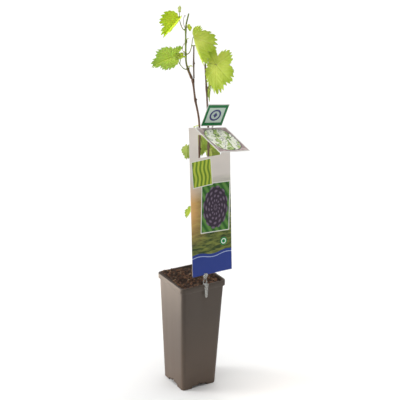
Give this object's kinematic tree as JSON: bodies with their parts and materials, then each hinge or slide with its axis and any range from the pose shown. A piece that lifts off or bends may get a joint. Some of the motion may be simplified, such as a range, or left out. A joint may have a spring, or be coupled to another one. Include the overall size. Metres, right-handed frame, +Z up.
{
  "type": "grapevine",
  "caption": "Young grapevine in a tall square nursery pot: a short trunk forking into thin canes with leafy sprays, and a tall display label clipped to the rim with a folded tag.",
  "frame": {"origin": "middle of the pot's flat underside", "axes": "+Z up the plant; -Y out of the pot's labelled side; X along that side"},
  "size_m": [0.137, 0.1514, 0.6981],
  "materials": {
    "pot": "dark taupe moulded polypropylene, satin",
    "potting_mix": "moist bark and peat potting mix",
    "trunk": "old stringy vine bark",
    "cane": "ripe one-year cane, fine grooves",
    "shoot": "half-ripe green-brown shoot",
    "foliage": "living grape leaves, yellow-green",
    "label": "printed plastic sheet, satin",
    "tag": "printed folded card",
    "clip": "milky clear plastic"
  },
  "bodies": {
    "root": {"pot": "pot", "potting_mix": "potting_mix", "trunk": "trunk", "arm_left": "cane", "arm_right": "cane", "shoot_left": "shoot", "spur_left": "cane", "label": "label", "tag": "tag", "clip": "clip", "spray_crest": "foliage", "spray_bud": "foliage", "spray_face": "foliage", "spray_left": "foliage", "spray_right": "foliage", "spray_small": "foliage", "spray_upper_back": "foliage", "spray_window": "foliage", "spray_side": "foliage", "spray_right_middle": "foliage", "spray_right_lower": "foliage", "spray_back_lower": "foliage", "spray_right_low": "foliage", "spray_left_low": "foliage"}
  },
  "joints": []
}
